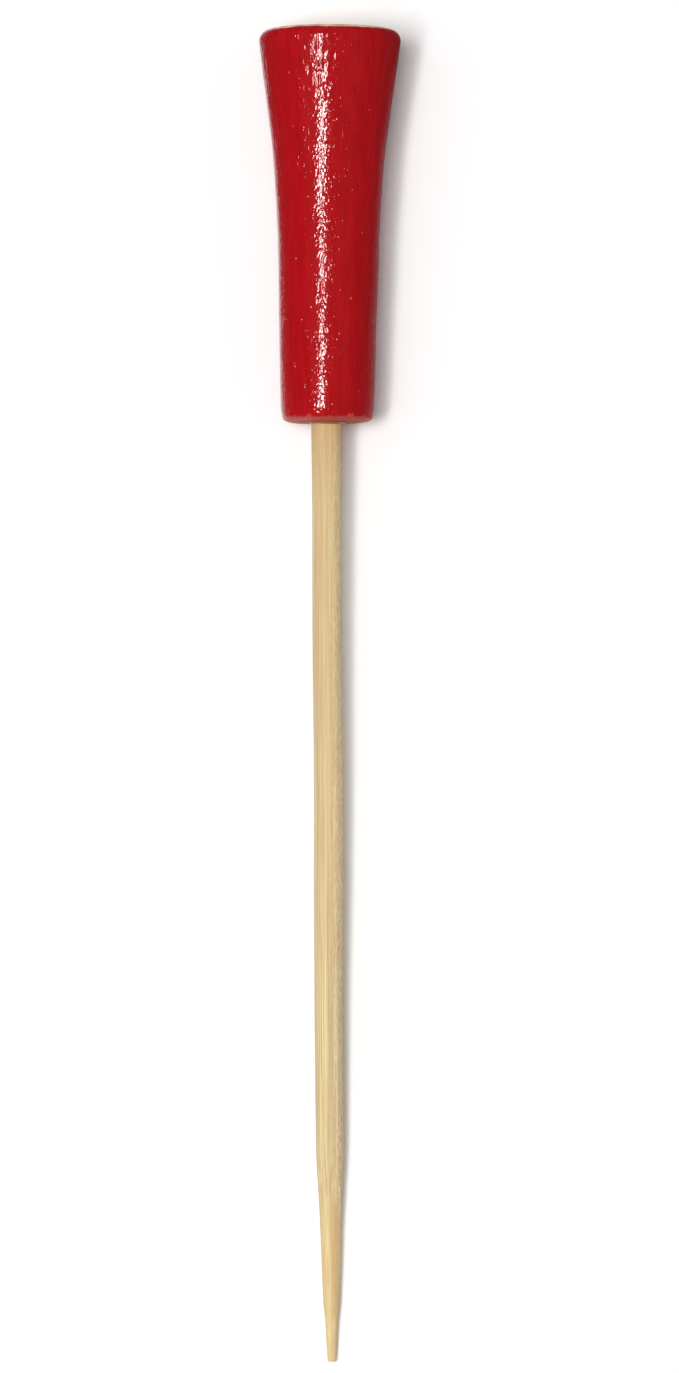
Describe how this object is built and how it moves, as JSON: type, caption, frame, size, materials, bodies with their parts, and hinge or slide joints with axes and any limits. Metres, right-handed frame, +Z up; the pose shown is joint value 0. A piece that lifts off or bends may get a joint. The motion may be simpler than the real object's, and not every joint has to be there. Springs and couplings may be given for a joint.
{
  "type": "golf tee pick",
  "caption": "Party food pick: a flared, lacquered wooden head like a golf tee, glued on a round bamboo stick with a sharpened point.",
  "frame": {"origin": "on the surface that the pick lies on, under the middle of its box", "axes": "+Z up, +Y along the pick towards its head, with the pick lying on the lip of its head and on its point"},
  "size_m": [0.0122, 0.1152, 0.0123],
  "materials": {
    "red_lacquer": "sprayed gloss lacquer with a slight orange peel, bare wood on the end face",
    "bamboo": "unfinished, smooth along the fibres",
    "dried_glue": "dried, half clear"
  },
  "bodies": {
    "root": {"tee_head": "red_lacquer", "bamboo_stick": "bamboo", "glue_bead": "dried_glue"}
  },
  "joints": []
}
